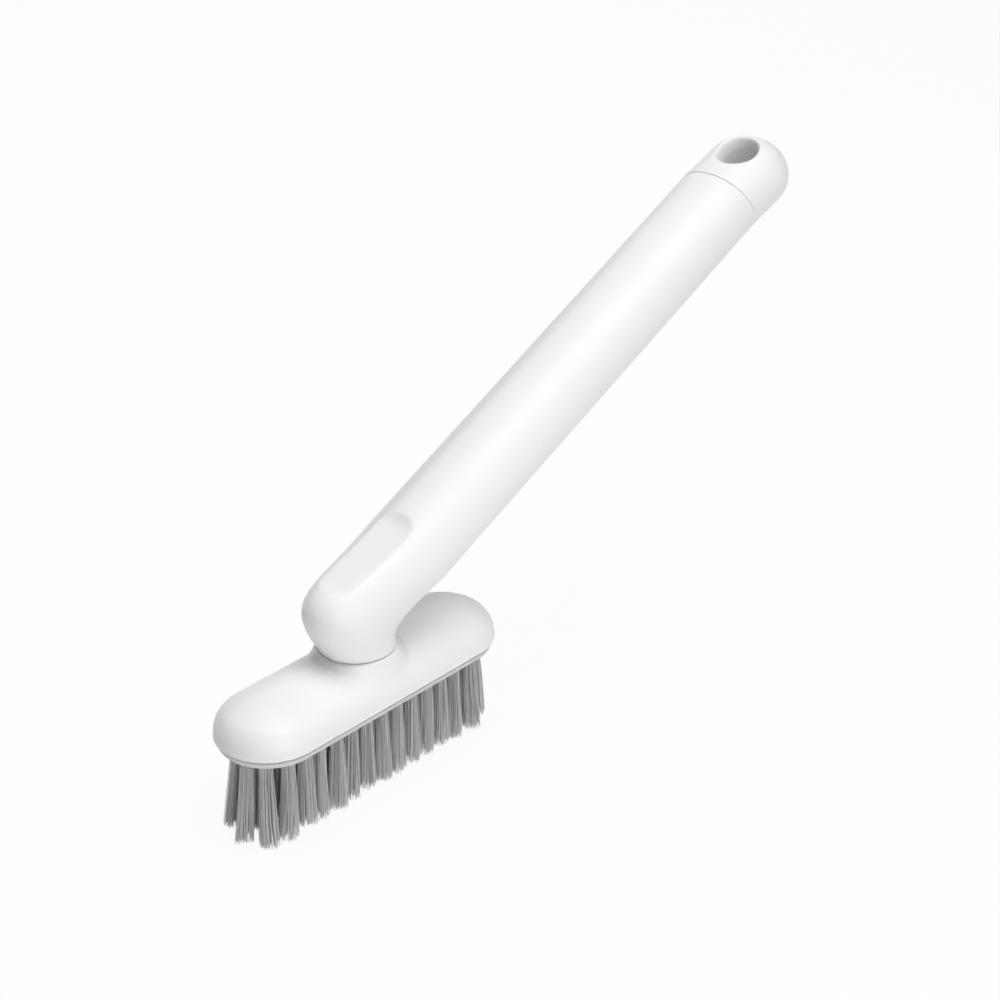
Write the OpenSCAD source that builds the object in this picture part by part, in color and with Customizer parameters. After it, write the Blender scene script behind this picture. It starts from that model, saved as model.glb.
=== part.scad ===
/* [Head] */
// Length of the head shell
head_l = 105; // [90:1:140]
// Width of the head shell
head_w = 33.2; // [32:0.2:40]
// Height of the crown above the shell's rim
crown_h = 11.5; // [10:0.1:14]
// Radius of the crown's arch across the head
crown_r = 26; // [24:0.5:40]
// Radius that rounds the crown into the side wall
shoulder_r = 8; // [6:0.25:9]
// Wall of the head shell
shell_wall = 2.2; // [1.6:0.1:2.6]
// Thickness of the cross ribs inside the shell
rib_t = 1.6; // [1.2:0.1:2.4]

/* [Collar and swivel] */
// Radius of the collar that the neck sits on
collar_r = 12.8; // [12.4:0.1:13.4]
// Height of the collar's top above the shell's rim
collar_h = 13.2; // [12.8:0.1:14]
// Fall of the collar's flank for each millimetre outward
flank_slope = 3.2; // [2.6:0.1:5]
// Height over which the flank blends into the crown
flank_blend = 3; // [1:0.25:4]
// Rounding of the collar's lip and the neck's foot
lip_r = 0.4; // [0.2:0.1:0.6]
// Open seam between the collar and the neck's foot
seam_gap = 0.35; // [0.3:0.05:0.6]
// Radius of the spindle's journal
journal_r = 6.5; // [5.5:0.1:7]
// Running clearance round the journal
running_gap = 0.05; // [0.02:0.01:0.1]
// Thickness of the web that the journal turns in
web_t = 4.6; // [4:0.1:5]
// Turn of the head each way from straight
swivel_stop = 90; // [30:5:120]
// Half of the stop lug's width, in degrees round the axis
lug_half = 10; // [6:1:14]
// Depth of the stop groove in the collar's top
groove_depth = 1.8; // [1.4:0.1:2.2]

/* [Neck and handle] */
// Radius of the neck's foot
neck_r = 12.05; // [11.6:0.05:12.2]
// Width of the handle's oval, across the brush
handle_w = 30; // [27:0.5:34]
// Thickness of the handle's oval
handle_t = 24; // [22:0.5:28]
// Wall of the handle tube
handle_wall = 2.2; // [1.6:0.1:3]
// Rise of the handle above level, in degrees
handle_rise = 24.9; // [20:0.1:30]
// Height where the handle's axis meets the neck's, above the rim
axis_h = 25.9; // [25:0.1:28]
// Length of the handle from the neck's axis to the cap's seam
handle_l = 188; // [140:1:280]
// Distance along the handle where its elbow ends
elbow_l = 24.4; // [22:0.2:30]
// Reach of the elbow's outer curve at the foot and at the tube
elbow_pull = 30; // [24:0.5:34]
// Outward lean of the elbow's outer curve at the foot, in degrees
elbow_bulge = 31.5; // [24:0.5:36]
// Reach of the elbow's inner curve at the foot
crook_foot = 2.1; // [1.5:0.1:4]
// Reach of the elbow's inner curve at the tube
crook_tube = 9.4; // [6:0.2:14]
// Inward lean of the elbow's inner curve at the foot, in degrees
crook_lean = 34; // [20:1:40]
// Place along the handle where the tube's hollow ends
hollow_start = 40; // [36:1:60]

/* [Thumb recess] */
// Where the recess starts, along the handle
recess_start = -6; // [-8:0.5:0]
// Where the recess ends, along the handle
recess_end = 29; // [24:0.5:36]
// Half width of the recess
recess_half = 6.8; // [5:0.1:8]
// Depth of the recess in its middle
recess_depth = 1.3; // [0.5:0.1:1.8]

/* [End cap] */
// Straight part of the cap beyond the seam
cap_straight = 15.4; // [12:0.2:20]
// Length of the cap's domed end
dome_l = 13.4; // [11:0.2:16]
// Drop of the cap's end below the handle's axis
cap_droop = 1.1; // [0:0.1:2]
// Radius of the hanging hole
hole_r = 6; // [4:0.25:7]
// Distance of the hanging hole from the seam
hole_at = 15.4; // [14.5:0.1:18]
// Widening of the hole at its two rounded mouths
mouth_w = 4.5; // [2:0.25:5]
// Depth of the parting groove inside the hole
parting_depth = 0.2; // [0.1:0.05:0.4]
// Height of the parting groove above the middle of the cap
parting_at = 6; // [2:0.5:7]
// Length of the spigot that plugs into the tube
spigot_l = 12; // [8:1:20]
// Wall of the spigot
spigot_wall = 2; // [1.5:0.1:2.5]
// Fit between the spigot and the tube, and between other pushed pieces
push_gap = 0.1; // [0.05:0.05:0.2]
// Width of the groove at the seam between the cap and the tube
seam_w = 0.45; // [0.2:0.05:0.8]
// Depth of the groove at the seam
seam_depth = 0.5; // [0.2:0.05:0.8]

/* [Swivel hardware] */
// Radius of the spindle's plug inside the neck
plug_r = 9.3; // [9:0.1:9.6]
// Length of the spindle's plug
plug_l = 9; // [7:0.5:10]
// Radius of the pivot screw's shank
screw_r = 2; // [1.5:0.1:2.5]
// Radius of the pivot screw's head
screw_head_r = 3.8; // [3.2:0.1:4.2]
// Height of the pivot screw's head
screw_head_h = 2.3; // [1.8:0.1:2.4]
// Length of the pivot screw's shank
screw_l = 13; // [10:0.5:14]
// Radius of the retaining washer
washer_r = 9.5; // [8.5:0.1:10]
// Thickness of the retaining washer
washer_t = 1; // [0.8:0.1:1.1]
// Height of the dished friction washer
spring_h = 0.7; // [0.6:0.05:0.8]
// Thickness of the dished friction washer's sheet
spring_t = 0.3; // [0.2:0.05:0.4]

/* [Bristle plate] */
// How far the plate's edge stands in from the shell's rim
plate_inset = 0.95; // [0.5:0.05:1.5]
// Open reveal between the shell's rim and the plate's edge
reveal = 1.3; // [0.6:0.05:1.6]
// Height of the plate's visible edge
plate_edge = 1.5; // [1.3:0.1:3]
// Height of the plate's tongue above the rim
tongue_h = 3.4; // [3:0.1:3.6]
// Fit between the plate's tongue and the shell
tongue_gap = 0.15; // [0.1:0.05:0.3]
// Radius of a tuft hole
tuft_hole_r = 2.2; // [1.8:0.1:2.4]
// Depth of a tuft hole above the plate's backing strips
tuft_hole_depth = 3.6; // [3:0.1:3.8]
// Width of an anchor across its tuft hole
anchor_w = 4.2; // [3:0.1:4.4]
// Height of an anchor
anchor_h = 1.5; // [1:0.1:2]
// Thickness of an anchor
anchor_t = 0.4; // [0.3:0.05:0.6]

/* [Bristles] */
// Free length of the bristles below the plate
bristle_l = 29; // [20:0.2:36]
// Distance between tufts along a row
tuft_pitch = 6.3; // [5.8:0.05:7]
// Distance between neighbouring rows
row_pitch = 6.4; // [6:0.05:6.6]
// Number of tufts in a straight outer row
row_tufts = 11; // [7:2:11]
// Number of tufts round each end of the field, outside the one in its middle
end_tufts = 5; // [4:1:5]
// Number of strands in one tuft
tuft_strands = 8; // [6:1:9]
// Radius of a tuft at the plate
tuft_root_r = 1.75; // [1.4:0.05:1.9]
// Radius of a tuft at its tip
tuft_tip_r = 2.35; // [1.8:0.05:2.5]
// Outward lean of the end tufts' tips
end_lean = 1.6; // [0:0.1:2.5]
// Radius of a strand at its root
strand_r = 0.5; // [0.3:0.05:0.55]
// Depth of the ragged tips
ragged = 1.6; // [0:0.1:3]
// Thickness of the backing strips that carry the bristles
strip_t = 1; // [0.8:0.1:1.4]
// Gap between neighbouring backing strips
strip_gap = 0.1; // [0.05:0.05:0.2]
// Rim of the plate round the backing strips
plate_rim = 2.6; // [2:0.1:3]

/* [Hidden] */
// Overlap that keeps cutters clear of the faces that they cut
eps = 0.01;

// The head, with the rim of its shell at height zero and the neck's axis at the origin
end_r = head_w / 2;
spine = head_l / 2 - end_r;
arch_z = crown_h - crown_r;
shoulder_x = end_r - shoulder_r;
shoulder_z = arch_z + sqrt(pow(crown_r - shoulder_r, 2) - pow(shoulder_x, 2));
tangent_x = shoulder_x * crown_r / (crown_r - shoulder_r);
tangent_turn = atan2(shoulder_z - arch_z, shoulder_x);
foot_z = collar_h + seam_gap;
web_z = collar_h - web_t;

// The handle's directions: along its axis, and up from its axis
dir_along = [cos(handle_rise), 0, sin(handle_rise)];
dir_up = [-sin(handle_rise), 0, cos(handle_rise)];
axis_start = [0, 0, axis_h];
handle_a = handle_w / 2;
handle_b = handle_t / 2;
dome_start = handle_l + cap_straight;

// The plate and its bristles
plate_face = reveal + plate_edge;
rim_z = bristle_l + plate_face;
plate_r = end_r - plate_inset;
tongue_r = shoulder_x - tongue_gap
    + sqrt(pow(shoulder_r - shell_wall, 2) - pow(max(0, tongue_h - shoulder_z), 2));
strip_r = plate_r - plate_rim;
outer_row = 1.5 * row_pitch;
inner_row = 0.5 * row_pitch;
row_half = (row_tufts - 1) / 2 * tuft_pitch;
row_end = row_half + tuft_pitch / 2;
inner_half = row_half + tuft_pitch / 2;
inner_end = inner_half + tuft_pitch / 2;

// The middle of the brush's whole length, from the neck's axis
reach_x = dome_start * cos(handle_rise)
    + sqrt(pow(dome_l * cos(handle_rise), 2) + pow(handle_b * sin(handle_rise), 2))
    + cap_droop * sin(handle_rise);
origin_x = (reach_x - head_l / 2) / 2;

// Stands the brush on its bristle tips, with the middle of its length at the origin
module stand() {
    translate([-origin_x, 0, rim_z]) children();
}

// Closed solid through rings of points, each with a flat face at its two ends
module loft(rings) {
    n = len(rings[0]);
    m = len(rings);
    polyhedron(
        points = [for (ring = rings) each ring],
        faces = [
            [for (i = [0:n - 1]) i],
            for (k = [0:m - 2]) for (i = [0:n - 1]) each [
                [k * n + i, (k + 1) * n + i, (k + 1) * n + (i + 1) % n],
                [k * n + i, (k + 1) * n + (i + 1) % n, k * n + (i + 1) % n]
            ],
            [for (i = [0:n - 1]) m * n - 1 - i]
        ]
    );
}

module stadium(half, radius) {
    square([2 * half, 2 * radius], center = true);
    translate([-half, 0]) circle(radius, $fn = 96);
    translate([half, 0]) circle(radius, $fn = 96);
}

// Height of the crown at a distance from the head's spine
function crown_z(d) = d < tangent_x
    ? arch_z + sqrt(pow(crown_r, 2) - d * d)
    : shoulder_z + sqrt(max(0, pow(shoulder_r, 2) - pow(d - shoulder_x, 2)));
function spine_distance(p) = norm([max(0, abs(p[0]) - spine), p[1]]);

// Height of the shell's top: the crown and the collar's flank, blended where they meet
function soft_max(a, b, k) = max(a, b) + pow(max(k - abs(a - b), 0), 2) / (4 * k);
function flank_z(p) = collar_h - lip_r - flank_slope * max(0, norm(p) - collar_r);
function shell_z(p) = min(collar_h - lip_r, soft_max(crown_z(spine_distance(p)), flank_z(p), flank_blend));

// Points round a stadium from the middle of an end, and rings of them up to the shell's collar
function stadium_round(radius, side_steps, arc_steps) = [
    for (side = [-1, 1]) each [
        for (i = [0:side_steps - 1]) side * [spine * (1 - 2 * i / side_steps), radius],
        for (i = [0:arc_steps - 1]) let (a = 180 * i / arc_steps)
            side * [-spine - radius * sin(a), radius * cos(a)]
    ]
];
function stadium_points(radius, side_steps, arc_steps) =
    let (points = stadium_round(radius, side_steps, arc_steps), n = len(points))
        [for (i = [0:n - 1]) points[(i + side_steps + arc_steps / 2) % n]];
rim_points = stadium_points(end_r, 24, 24);
crown_steps = 11;
function crown_ring(share) = [
    for (p = rim_points) let (q = p / norm(p) * collar_r, r = p + (q - p) * share)
        [r[0], r[1], share == 0 ? shoulder_z : shell_z(r)]
];
function round_ring(radius, z) = [for (p = rim_points) [each p / norm(p) * radius, z]];
shell_rings = [
    [for (p = rim_points) [each p, 0]],
    for (i = [0:crown_steps]) crown_ring(pow(i / crown_steps, 1.5)),
    round_ring(collar_r - lip_r, collar_h)
];

// Half of the arch's outline, drawn in by a wall, from its foot to near its crown
arch_steps = 7;
function arch_profile(wall) = [
    for (i = [0:arch_steps]) let (a = tangent_turn * i / arch_steps)
        [shoulder_x + (shoulder_r - wall) * cos(a), shoulder_z + (shoulder_r - wall) * sin(a)],
    for (i = [1:arch_steps]) let (a = tangent_turn + (89 - tangent_turn) * i / arch_steps)
        [(crown_r - wall) * cos(a), arch_z + (crown_r - wall) * sin(a)]
];

// The hollow under the shell, with the outline's own steps in its long sides
module shell_hollow() {
    loft([
        [for (p = stadium_points(end_r - shell_wall, 1, 14)) [each p, -1]],
        for (q = arch_profile(shell_wall)) [for (p = stadium_points(q[0], 1, 14)) [each p, q[1]]]
    ]);
}

// A wall across the shell, from a height up into the middle of the arch, between two sides
module cross_wall(x, thickness, bottom, top, from, to) {
    outline = arch_profile(shell_wall / 2);
    translate([x - thickness / 2, 0, 0]) rotate([90, 0, 90]) linear_extrude(thickness) intersection() {
        polygon([
            each outline,
            for (i = [len(outline) - 1:-1:0]) [-outline[i][0], outline[i][1]]
        ]);
        translate([from, bottom]) square([to - from, top - bottom]);
    }
}

// Cross ribs inside the shell, whose lower edges bear on the bristle plate
rib_places = [for (share = [-0.92, -0.5, 0.5, 0.92]) share * spine];
module shell_rib(x) {
    cross_wall(x, rib_t, tongue_h, crown_h, -end_r, end_r);
}

// Snap hooks on the plate, and the ledges inside the shell that they catch on
hook_places = [for (share = [-0.7, 0.7]) share * spine];
hook_w = 8;
hook_t = 1.4;
hook_barb = 0.8;
hook_rise = 3.2;
hook_y = 7.5;
ledge_t = 1.2;
ledge_top = tongue_h + hook_rise - hook_barb - push_gap;
module shell_ledge(x, side) {
    inner = hook_y + hook_t + push_gap;
    cross_wall(x, hook_w, ledge_top - ledge_t, ledge_top,
        side > 0 ? inner : -end_r, side > 0 ? end_r : -inner);
}
module plate_hook(x, side) {
    top = tongue_h + hook_rise;
    translate([x + hook_w / 2, 0, 0]) rotate([90, 0, -90]) linear_extrude(hook_w) polygon([
        [-side * hook_y, tongue_h - 1],
        [-side * (hook_y + hook_t), tongue_h - 1],
        [-side * (hook_y + hook_t), top - hook_barb],
        [-side * (hook_y + hook_t + hook_barb), top - hook_barb],
        [-side * (hook_y + hook_t), top],
        [-side * hook_y, top]
    ]);
}

// Groove in the collar's top, and the lug under the spindle's plug that turns in it
groove_wall = 1.2;
groove_w = 1.8;
groove_r = journal_r + running_gap + groove_wall;
lug_gap = 0.2;
lug_w = min(groove_w, plug_r - groove_r) - 2 * lug_gap;
module groove_sector(inner, width, half, bottom, top) {
    translate([0, 0, bottom]) rotate([0, 0, -half]) rotate_extrude(angle = 2 * half, $fn = 96)
        translate([inner, 0]) square([width, top - bottom]);
}

module head_shell() {
    boss_r = collar_r - 1;
    stop_slack = 1;
    washer_room = 0.5;
    color("white") difference() {
        union() {
            difference() {
                loft(shell_rings);
                shell_hollow();
            }
            translate([0, 0, web_z]) cylinder(h = web_t - groove_depth, r = boss_r, $fn = 96);
            for (x = rib_places) shell_rib(x);
            for (x = hook_places, side = [-1, 1]) shell_ledge(x, side);
        }
        translate([0, 0, web_z - 1]) cylinder(h = web_t + 2, r = journal_r + running_gap, $fn = 96);
        translate([0, 0, tongue_h]) cylinder(h = web_z - tongue_h, r = washer_r + washer_room, $fn = 96);
        groove_sector(groove_r, groove_w, swivel_stop + lug_half + stop_slack,
            collar_h - groove_depth, collar_h + 1);
    }
}

// The handle's outer surface: rings that turn from the round foot into the oval tube
function in_plane(along, up) = axis_start + along * dir_along + up * dir_up;
function bezier(p, t) =
    pow(1 - t, 3) * p[0] + 3 * pow(1 - t, 2) * t * p[1] + 3 * (1 - t) * t * t * p[2] + pow(t, 3) * p[3];
neck_z = foot_z + lip_r;
outer_foot = [-neck_r, 0, neck_z];
inner_foot = [neck_r, 0, neck_z];
outer_tube = in_plane(elbow_l, handle_b);
inner_tube = in_plane(elbow_l, -handle_b);
outer_curve = [
    outer_foot,
    outer_foot + elbow_pull * [-sin(elbow_bulge), 0, cos(elbow_bulge)],
    outer_tube - elbow_pull * dir_along,
    outer_tube
];
inner_curve = [
    inner_foot,
    inner_foot + crook_foot * [-sin(crook_lean), 0, cos(crook_lean)],
    inner_tube - crook_tube * dir_along,
    inner_tube
];

// Depth of the thumb recess under a point on the top of the handle: a scoop with short rounded ends
recess_round = 5;
function recess_dip(p) =
    let (
        s = (p - axis_start) * dir_along,
        middle = max(recess_start + recess_round - s, 0, s - recess_end + recess_round),
        d = norm([middle / recess_round, p[1] / recess_half])
    )
    d < 1 && (p - axis_start) * dir_up > 0 ? recess_depth * pow(1 - d * d, 1.3) : 0;

ring_sides = 60;
function handle_ring(centre, up, half) = [
    for (i = [0:ring_sides - 1])
        let (a = 360 * i / ring_sides, p = centre + cos(a) * up + [0, -half * sin(a), 0])
            p - recess_dip(p) * dir_up
];
elbow_steps = 24;
elbow_swell = 1.9;
function elbow_ring(t) =
    let (outer = bezier(outer_curve, t), inner = bezier(inner_curve, t))
        handle_ring((outer + inner) / 2, (outer - inner) / 2,
            neck_r + (handle_a - neck_r) * pow(t, elbow_swell));
function tube_ring(s, inset) = handle_ring(in_plane(s, 0), (handle_b - inset) * dir_up, handle_a - inset);
recess_steps = 5;
seam_edge = 0.1;
handle_rings = [
    handle_ring([0, 0, foot_z], [-(neck_r - lip_r), 0, 0], neck_r - lip_r),
    for (i = [0:elbow_steps]) elbow_ring(i / elbow_steps),
    for (i = [1:recess_steps]) tube_ring(elbow_l + (recess_end + 0.5 - elbow_l) * i / recess_steps, 0),
    tube_ring(handle_l - seam_edge, 0),
    tube_ring(handle_l, seam_edge)
];

// Oval bar along the handle, from one distance to another, drawn in by an inset
module oval_bar(from, to, inset) {
    loft([for (s = [from, to]) tube_ring(s, inset)]);
}

module handle_shell() {
    color("white") difference() {
        loft(handle_rings);
        oval_bar(hollow_start, handle_l + 1, handle_wall);
        translate([0, 0, foot_z - 1]) cylinder(h = plug_l + 1 + push_gap, r = plug_r + running_gap, $fn = 96);
    }
}

// The cap: a short oval barrel that droops to a domed end, and a spigot inside the tube
dome_steps = 12;
barrel_steps = 6;
barrel_start = handle_l + seam_w + seam_edge;
function droop(s) = let (u = min(1, max(0, s - handle_l) / cap_straight)) cap_droop * u * u * (3 - 2 * u);
function cap_ring(s, share) = handle_ring(in_plane(s, -droop(s)), handle_b * share * dir_up, handle_a * share);
cap_rings = [
    tube_ring(handle_l, seam_depth),
    tube_ring(handle_l + seam_w, seam_depth),
    tube_ring(handle_l + seam_w, seam_edge),
    for (i = [0:barrel_steps - 1]) cap_ring(barrel_start + (dome_start - barrel_start) * i / barrel_steps, 1),
    for (i = [0:dome_steps]) let (a = 88 * i / dome_steps) cap_ring(dome_start + dome_l * sin(a), cos(a))
];

// Cutter for the hanging hole: a straight bore, rounded mouths, a parting groove under the upper one
mouth_steps = 8;
mouth_lift = 0.3;
parting_half = 0.2;
function mouth_arc(side) = [
    for (i = [0:mouth_steps])
        let (k = side > 0 ? i : mouth_steps - i, a = 90 * k / mouth_steps, foot = parting_at + side * parting_half)
            [hole_r + mouth_w * (1 - cos(a)), side * (foot + (handle_b + mouth_lift - foot) * sin(a))]
];
hole_profile = [
    [0, -handle_b - 1],
    [hole_r + mouth_w, -handle_b - 1],
    each mouth_arc(-1),
    [hole_r, parting_at - parting_half],
    [hole_r + parting_depth, parting_at],
    [hole_r, parting_at + parting_half],
    each mouth_arc(1),
    [hole_r + mouth_w, handle_b + 1],
    [0, handle_b + 1]
];

module end_cap() {
    spigot_inset = handle_wall + push_gap;
    bore_wall = 2.2;
    color("white") difference() {
        union() {
            loft(cap_rings);
            oval_bar(handle_l - spigot_l, handle_l + 1, spigot_inset);
        }
        oval_bar(handle_l - spigot_l - 1, handle_l + hole_at - hole_r - bore_wall,
            spigot_inset + spigot_wall);
        translate(in_plane(handle_l + hole_at, -droop(handle_l + hole_at))) rotate([0, -handle_rise, 0])
            rotate_extrude($fn = 96) polygon(hole_profile);
    }
}

// The swivel: a spindle held in the neck, and what clamps the head's web to it
washer_top = web_z - spring_h - running_gap;
module swivel_spindle() {
    pilot_depth = screw_l - washer_t + 1;
    color("lightgray") difference() {
        union() {
            translate([0, 0, foot_z]) cylinder(h = plug_l, r = plug_r, $fn = 96);
            translate([0, 0, washer_top]) cylinder(h = foot_z - washer_top + 1, r = journal_r, $fn = 96);
            groove_sector(groove_r + lug_gap, lug_w, lug_half,
                collar_h - groove_depth + 0.3, foot_z + 1);
        }
        translate([0, 0, washer_top - 1]) cylinder(h = pilot_depth + 1, r = screw_r + running_gap, $fn = 48);
    }
}

module pivot_screw() {
    color("silver") {
        translate([0, 0, washer_top - washer_t]) cylinder(h = screw_l, r = screw_r, $fn = 48);
        translate([0, 0, washer_top - washer_t - screw_head_h])
            cylinder(h = screw_head_h, r = screw_head_r, $fn = 48);
    }
}

module retaining_washer() {
    color("silver") translate([0, 0, washer_top - washer_t]) difference() {
        cylinder(h = washer_t, r = washer_r, $fn = 96);
        translate([0, 0, -1]) cylinder(h = washer_t + 2, r = screw_r + 0.3, $fn = 48);
    }
}

module friction_washer() {
    inner = journal_r + 0.4;
    outer = washer_r - 0.2;
    color("gray") rotate_extrude($fn = 96) polygon([
        [inner, washer_top],
        [outer, washer_top + spring_h - spring_t],
        [outer, washer_top + spring_h],
        [inner, washer_top + spring_t]
    ]);
}

// Places of the tufts, each with the direction that its tips lean
row_places = [for (i = [0:row_tufts - 1]) i * tuft_pitch - row_half];
inner_places = [for (i = [0:row_tufts]) i * tuft_pitch - inner_half];
loop_free = spine - row_half;
loop_l = 2 * loop_free + PI * outer_row;
function loop_turn(d) =
    d < loop_free ? 0 : d > loop_l - loop_free ? 180 : (d - loop_free) / outer_row * 180 / PI;
function loop_place(d) =
    let (a = loop_turn(d), past = d > loop_l - loop_free ? loop_l - d : min(d, loop_free))
        [row_half + past + outer_row * sin(a), -outer_row * cos(a), sin(a), -cos(a)];
left_tufts = [for (x = row_places) [x, outer_row, 0, 0]];
right_tufts = [for (x = row_places) [x, -outer_row, 0, 0]];
inner_left_tufts = [for (x = inner_places) [x, inner_row, 0, 0]];
inner_right_tufts = [for (x = inner_places) [x, -inner_row, 0, 0]];
core_x = inner_end + strip_gap + tuft_root_r + strand_r + 0.3;
rear_tufts = [
    for (i = [1:end_tufts]) loop_place(loop_l * i / (end_tufts + 1)),
    [core_x, 0, 0, 0]
];
front_tufts = [for (t = rear_tufts) [-t[0], t[1], -t[2], t[3]]];
all_tufts = concat(left_tufts, right_tufts, inner_left_tufts, inner_right_tufts, rear_tufts, front_tufts);

hole_floor = strip_t - plate_face;
module bristle_plate() {
    color("gainsboro") difference() {
        union() {
            translate([0, 0, -plate_face]) linear_extrude(plate_edge) stadium(spine, plate_r);
            translate([0, 0, -reveal]) linear_extrude(tongue_h + reveal) stadium(spine, tongue_r);
            for (x = hook_places, side = [-1, 1]) plate_hook(x, side);
        }
        translate([0, 0, -plate_face - 1]) linear_extrude(strip_t + 1) stadium(spine, strip_r);
        for (t = all_tufts) translate([t[0], t[1], hole_floor - eps])
            cylinder(h = tuft_hole_depth + eps, r = tuft_hole_r, $fn = 32);
    }
}

module tuft_anchors() {
    color("goldenrod") for (t = all_tufts)
        translate([t[0] - anchor_w / 2, t[1] - anchor_t / 2, hole_floor + tuft_hole_depth - anchor_h])
            cube([anchor_w, anchor_t, anchor_h]);
}

// A repeatable scatter between 0 and 1
function scatter(k) = let (v = 437.5 * sin(127.1 * k)) v - floor(v);

// One strand: a three-sided rod from inside its strip down to a ragged tip, cut flat on the ground
strand_bite = 0.5;
tip_cut = 0.5;
strand_tip_r = 0.36;
function strand_ring(x, y, z, radius, turn) = [
    for (k = [0:2]) [x + radius * cos(turn + 120 * k), y + radius * sin(turn + 120 * k), z]
];
function strand_points(t, j, seed) =
    let (
        turn = 360 * j / (tuft_strands - 1) + 50 * scatter(seed),
        out = j == tuft_strands - 1 ? 0 : 1,
        spread = tuft_tip_r * (0.88 + 0.12 * scatter(seed + 3 * j)),
        lean = end_lean,
        tip_z = max(-rim_z, -rim_z - tip_cut + ragged * scatter(seed + 7 * j))
    )
    [
        each strand_ring(t[0] + lean * t[2] + out * spread * cos(turn),
            t[1] + lean * t[3] + out * spread * sin(turn), tip_z, strand_tip_r, turn),
        each strand_ring(t[0] + out * tuft_root_r * cos(turn),
            t[1] + out * tuft_root_r * sin(turn), strand_bite - plate_face, strand_r, turn)
    ];
module strands(tufts) {
    corners = [
        for (i = [0:len(tufts) - 1], j = [0:tuft_strands - 1])
            each strand_points(tufts[i], j, 11 * i + tufts[i][1])
    ];
    polyhedron(
        points = corners,
        faces = [for (b = [0:6:len(corners) - 1]) each [
            [b, b + 1, b + 2],
            for (i = [0:2]) each [
                [b + i, b + 3 + i, b + 3 + (i + 1) % 3],
                [b + i, b + 3 + (i + 1) % 3, b + (i + 1) % 3]
            ],
            [b + 5, b + 4, b + 3]
        ]]
    );
}

// Bristles of one row: its tufts, fused to the strip of backing that carries them
module brush_row(tufts) {
    color("gray") {
        strands(tufts);
        translate([0, 0, -plate_face]) linear_extrude(strip_t) children();
    }
}
module side_strip(side) {
    low = row_pitch + strip_gap / 2;
    translate([-row_end, side > 0 ? low : -strip_r + strip_gap])
        square([2 * row_end, strip_r - strip_gap - low]);
}
module inner_strip(side) {
    translate([-inner_end, side > 0 ? strip_gap / 2 : strip_gap / 2 - row_pitch])
        square([2 * inner_end, row_pitch - strip_gap]);
}
module end_strip(side) {
    difference() {
        translate([side * spine, 0]) circle(strip_r - strip_gap, $fn = 96);
        translate([side > 0 ? -head_l : -row_end - strip_gap, -head_w])
            square([head_l + row_end + strip_gap, 2 * head_w]);
        translate([side > 0 ? 0 : -inner_end - strip_gap, -row_pitch])
            square([inner_end + strip_gap, 2 * row_pitch]);
    }
}

module bristles_left_row() { brush_row(left_tufts) side_strip(1); }
module bristles_right_row() { brush_row(right_tufts) side_strip(-1); }
module bristles_inner_left() { brush_row(inner_left_tufts) inner_strip(1); }
module bristles_inner_right() { brush_row(inner_right_tufts) inner_strip(-1); }
module bristles_front_end() { brush_row(front_tufts) end_strip(-1); }
module bristles_rear_end() { brush_row(rear_tufts) end_strip(1); }

stand() handle_shell();
stand() end_cap();
stand() swivel_spindle();
stand() pivot_screw();
stand() retaining_washer();
stand() friction_washer();
stand() head_shell();
stand() bristle_plate();
stand() tuft_anchors();
stand() bristles_left_row();
stand() bristles_right_row();
stand() bristles_inner_left();
stand() bristles_inner_right();
stand() bristles_front_end();
stand() bristles_rear_end();
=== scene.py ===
"""Looks for a grout brush: a swivel head with tufted bristles on a raised oval handle."""

import math

import bmesh
import bpy
import numpy as np
from mathutils import Matrix, Vector, geometry


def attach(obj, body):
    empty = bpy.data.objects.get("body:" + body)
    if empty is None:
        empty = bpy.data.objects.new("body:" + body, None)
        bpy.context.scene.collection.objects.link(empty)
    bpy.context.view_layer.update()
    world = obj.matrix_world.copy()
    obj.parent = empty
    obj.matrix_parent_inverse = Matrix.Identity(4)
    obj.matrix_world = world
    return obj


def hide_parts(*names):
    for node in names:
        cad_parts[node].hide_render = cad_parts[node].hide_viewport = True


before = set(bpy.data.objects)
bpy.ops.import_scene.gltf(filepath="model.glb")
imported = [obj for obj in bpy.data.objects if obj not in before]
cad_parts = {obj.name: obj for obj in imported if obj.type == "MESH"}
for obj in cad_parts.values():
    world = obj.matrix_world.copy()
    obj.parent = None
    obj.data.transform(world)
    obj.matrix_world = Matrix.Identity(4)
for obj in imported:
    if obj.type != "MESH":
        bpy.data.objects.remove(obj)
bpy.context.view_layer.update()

# Sizes of the CAD part, in millimetres
HEAD_L, HEAD_W = 105.0, 33.2
CROWN_H, CROWN_R, SHOULDER_R, SHELL_WALL = 11.5, 26.0, 8.0, 2.2
COLLAR_R, COLLAR_H, FLANK_SLOPE, FLANK_BLEND, LIP_R = 12.8, 13.2, 3.2, 4.6, 0.4
SEAM_GAP, JOURNAL_R, RUNNING_GAP, WEB_T = 0.35, 6.5, 0.05, 4.6
SWIVEL_STOP, LUG_HALF, STOP_SLACK, GROOVE_DEPTH = 90.0, 10.0, 1.0, 1.8
GROOVE_WALL, GROOVE_W, POCKET_R = 1.2, 1.8, 10.0

NECK_R, HANDLE_W, HANDLE_T, HANDLE_WALL = 12.05, 30.0, 24.0, 2.2
HANDLE_RISE, AXIS_H, HANDLE_L, ELBOW_L = math.radians(24.9), 25.9, 188.0, 24.4
ELBOW_PULL, ELBOW_BULGE = 30.0, math.radians(31.5)
CROOK_FOOT, CROOK_TUBE, CROOK_LEAN = 2.1, 9.4, math.radians(34.0)
ELBOW_SWELL, HOLLOW_START = 1.9, 40.0
RECESS_START, RECESS_END, RECESS_HALF, RECESS_ROUND, RECESS_DEPTH = -6.0, 29.0, 6.8, 5.0, 1.3
RECESS_POWER = 1.3
PLUG_R, PLUG_L, PUSH_GAP = 9.3, 9.0, 0.1

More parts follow.
